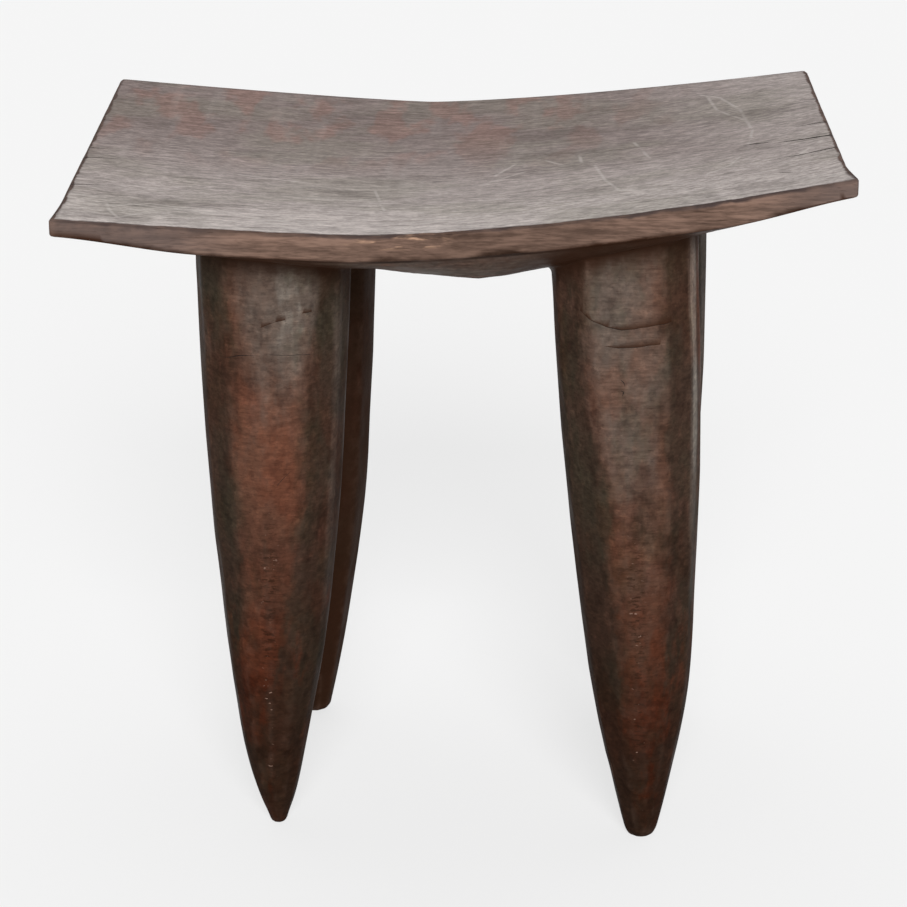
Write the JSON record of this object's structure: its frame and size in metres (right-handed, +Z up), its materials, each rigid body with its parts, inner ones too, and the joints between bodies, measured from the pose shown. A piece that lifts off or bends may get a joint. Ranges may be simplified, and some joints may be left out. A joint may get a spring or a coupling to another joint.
{
  "type": "carved wooden side table",
  "caption": "Side table carved from solid dark wood: a thin, dished rectangular top with upturned ends, on thick legs that taper to blunt, worn feet.",
  "frame": {"origin": "middle of the object's box at floor level, where the feet stand", "axes": "+Z up, +X along the top towards its higher end, +Y towards the back"},
  "size_m": [0.507, 0.3542, 0.4855],
  "materials": {
    "wood": "hand-adzed hardwood with a dark satin patina, greyer and drier on the top"
  },
  "bodies": {
    "root": {"side_table": "wood"}
  },
  "joints": []
}
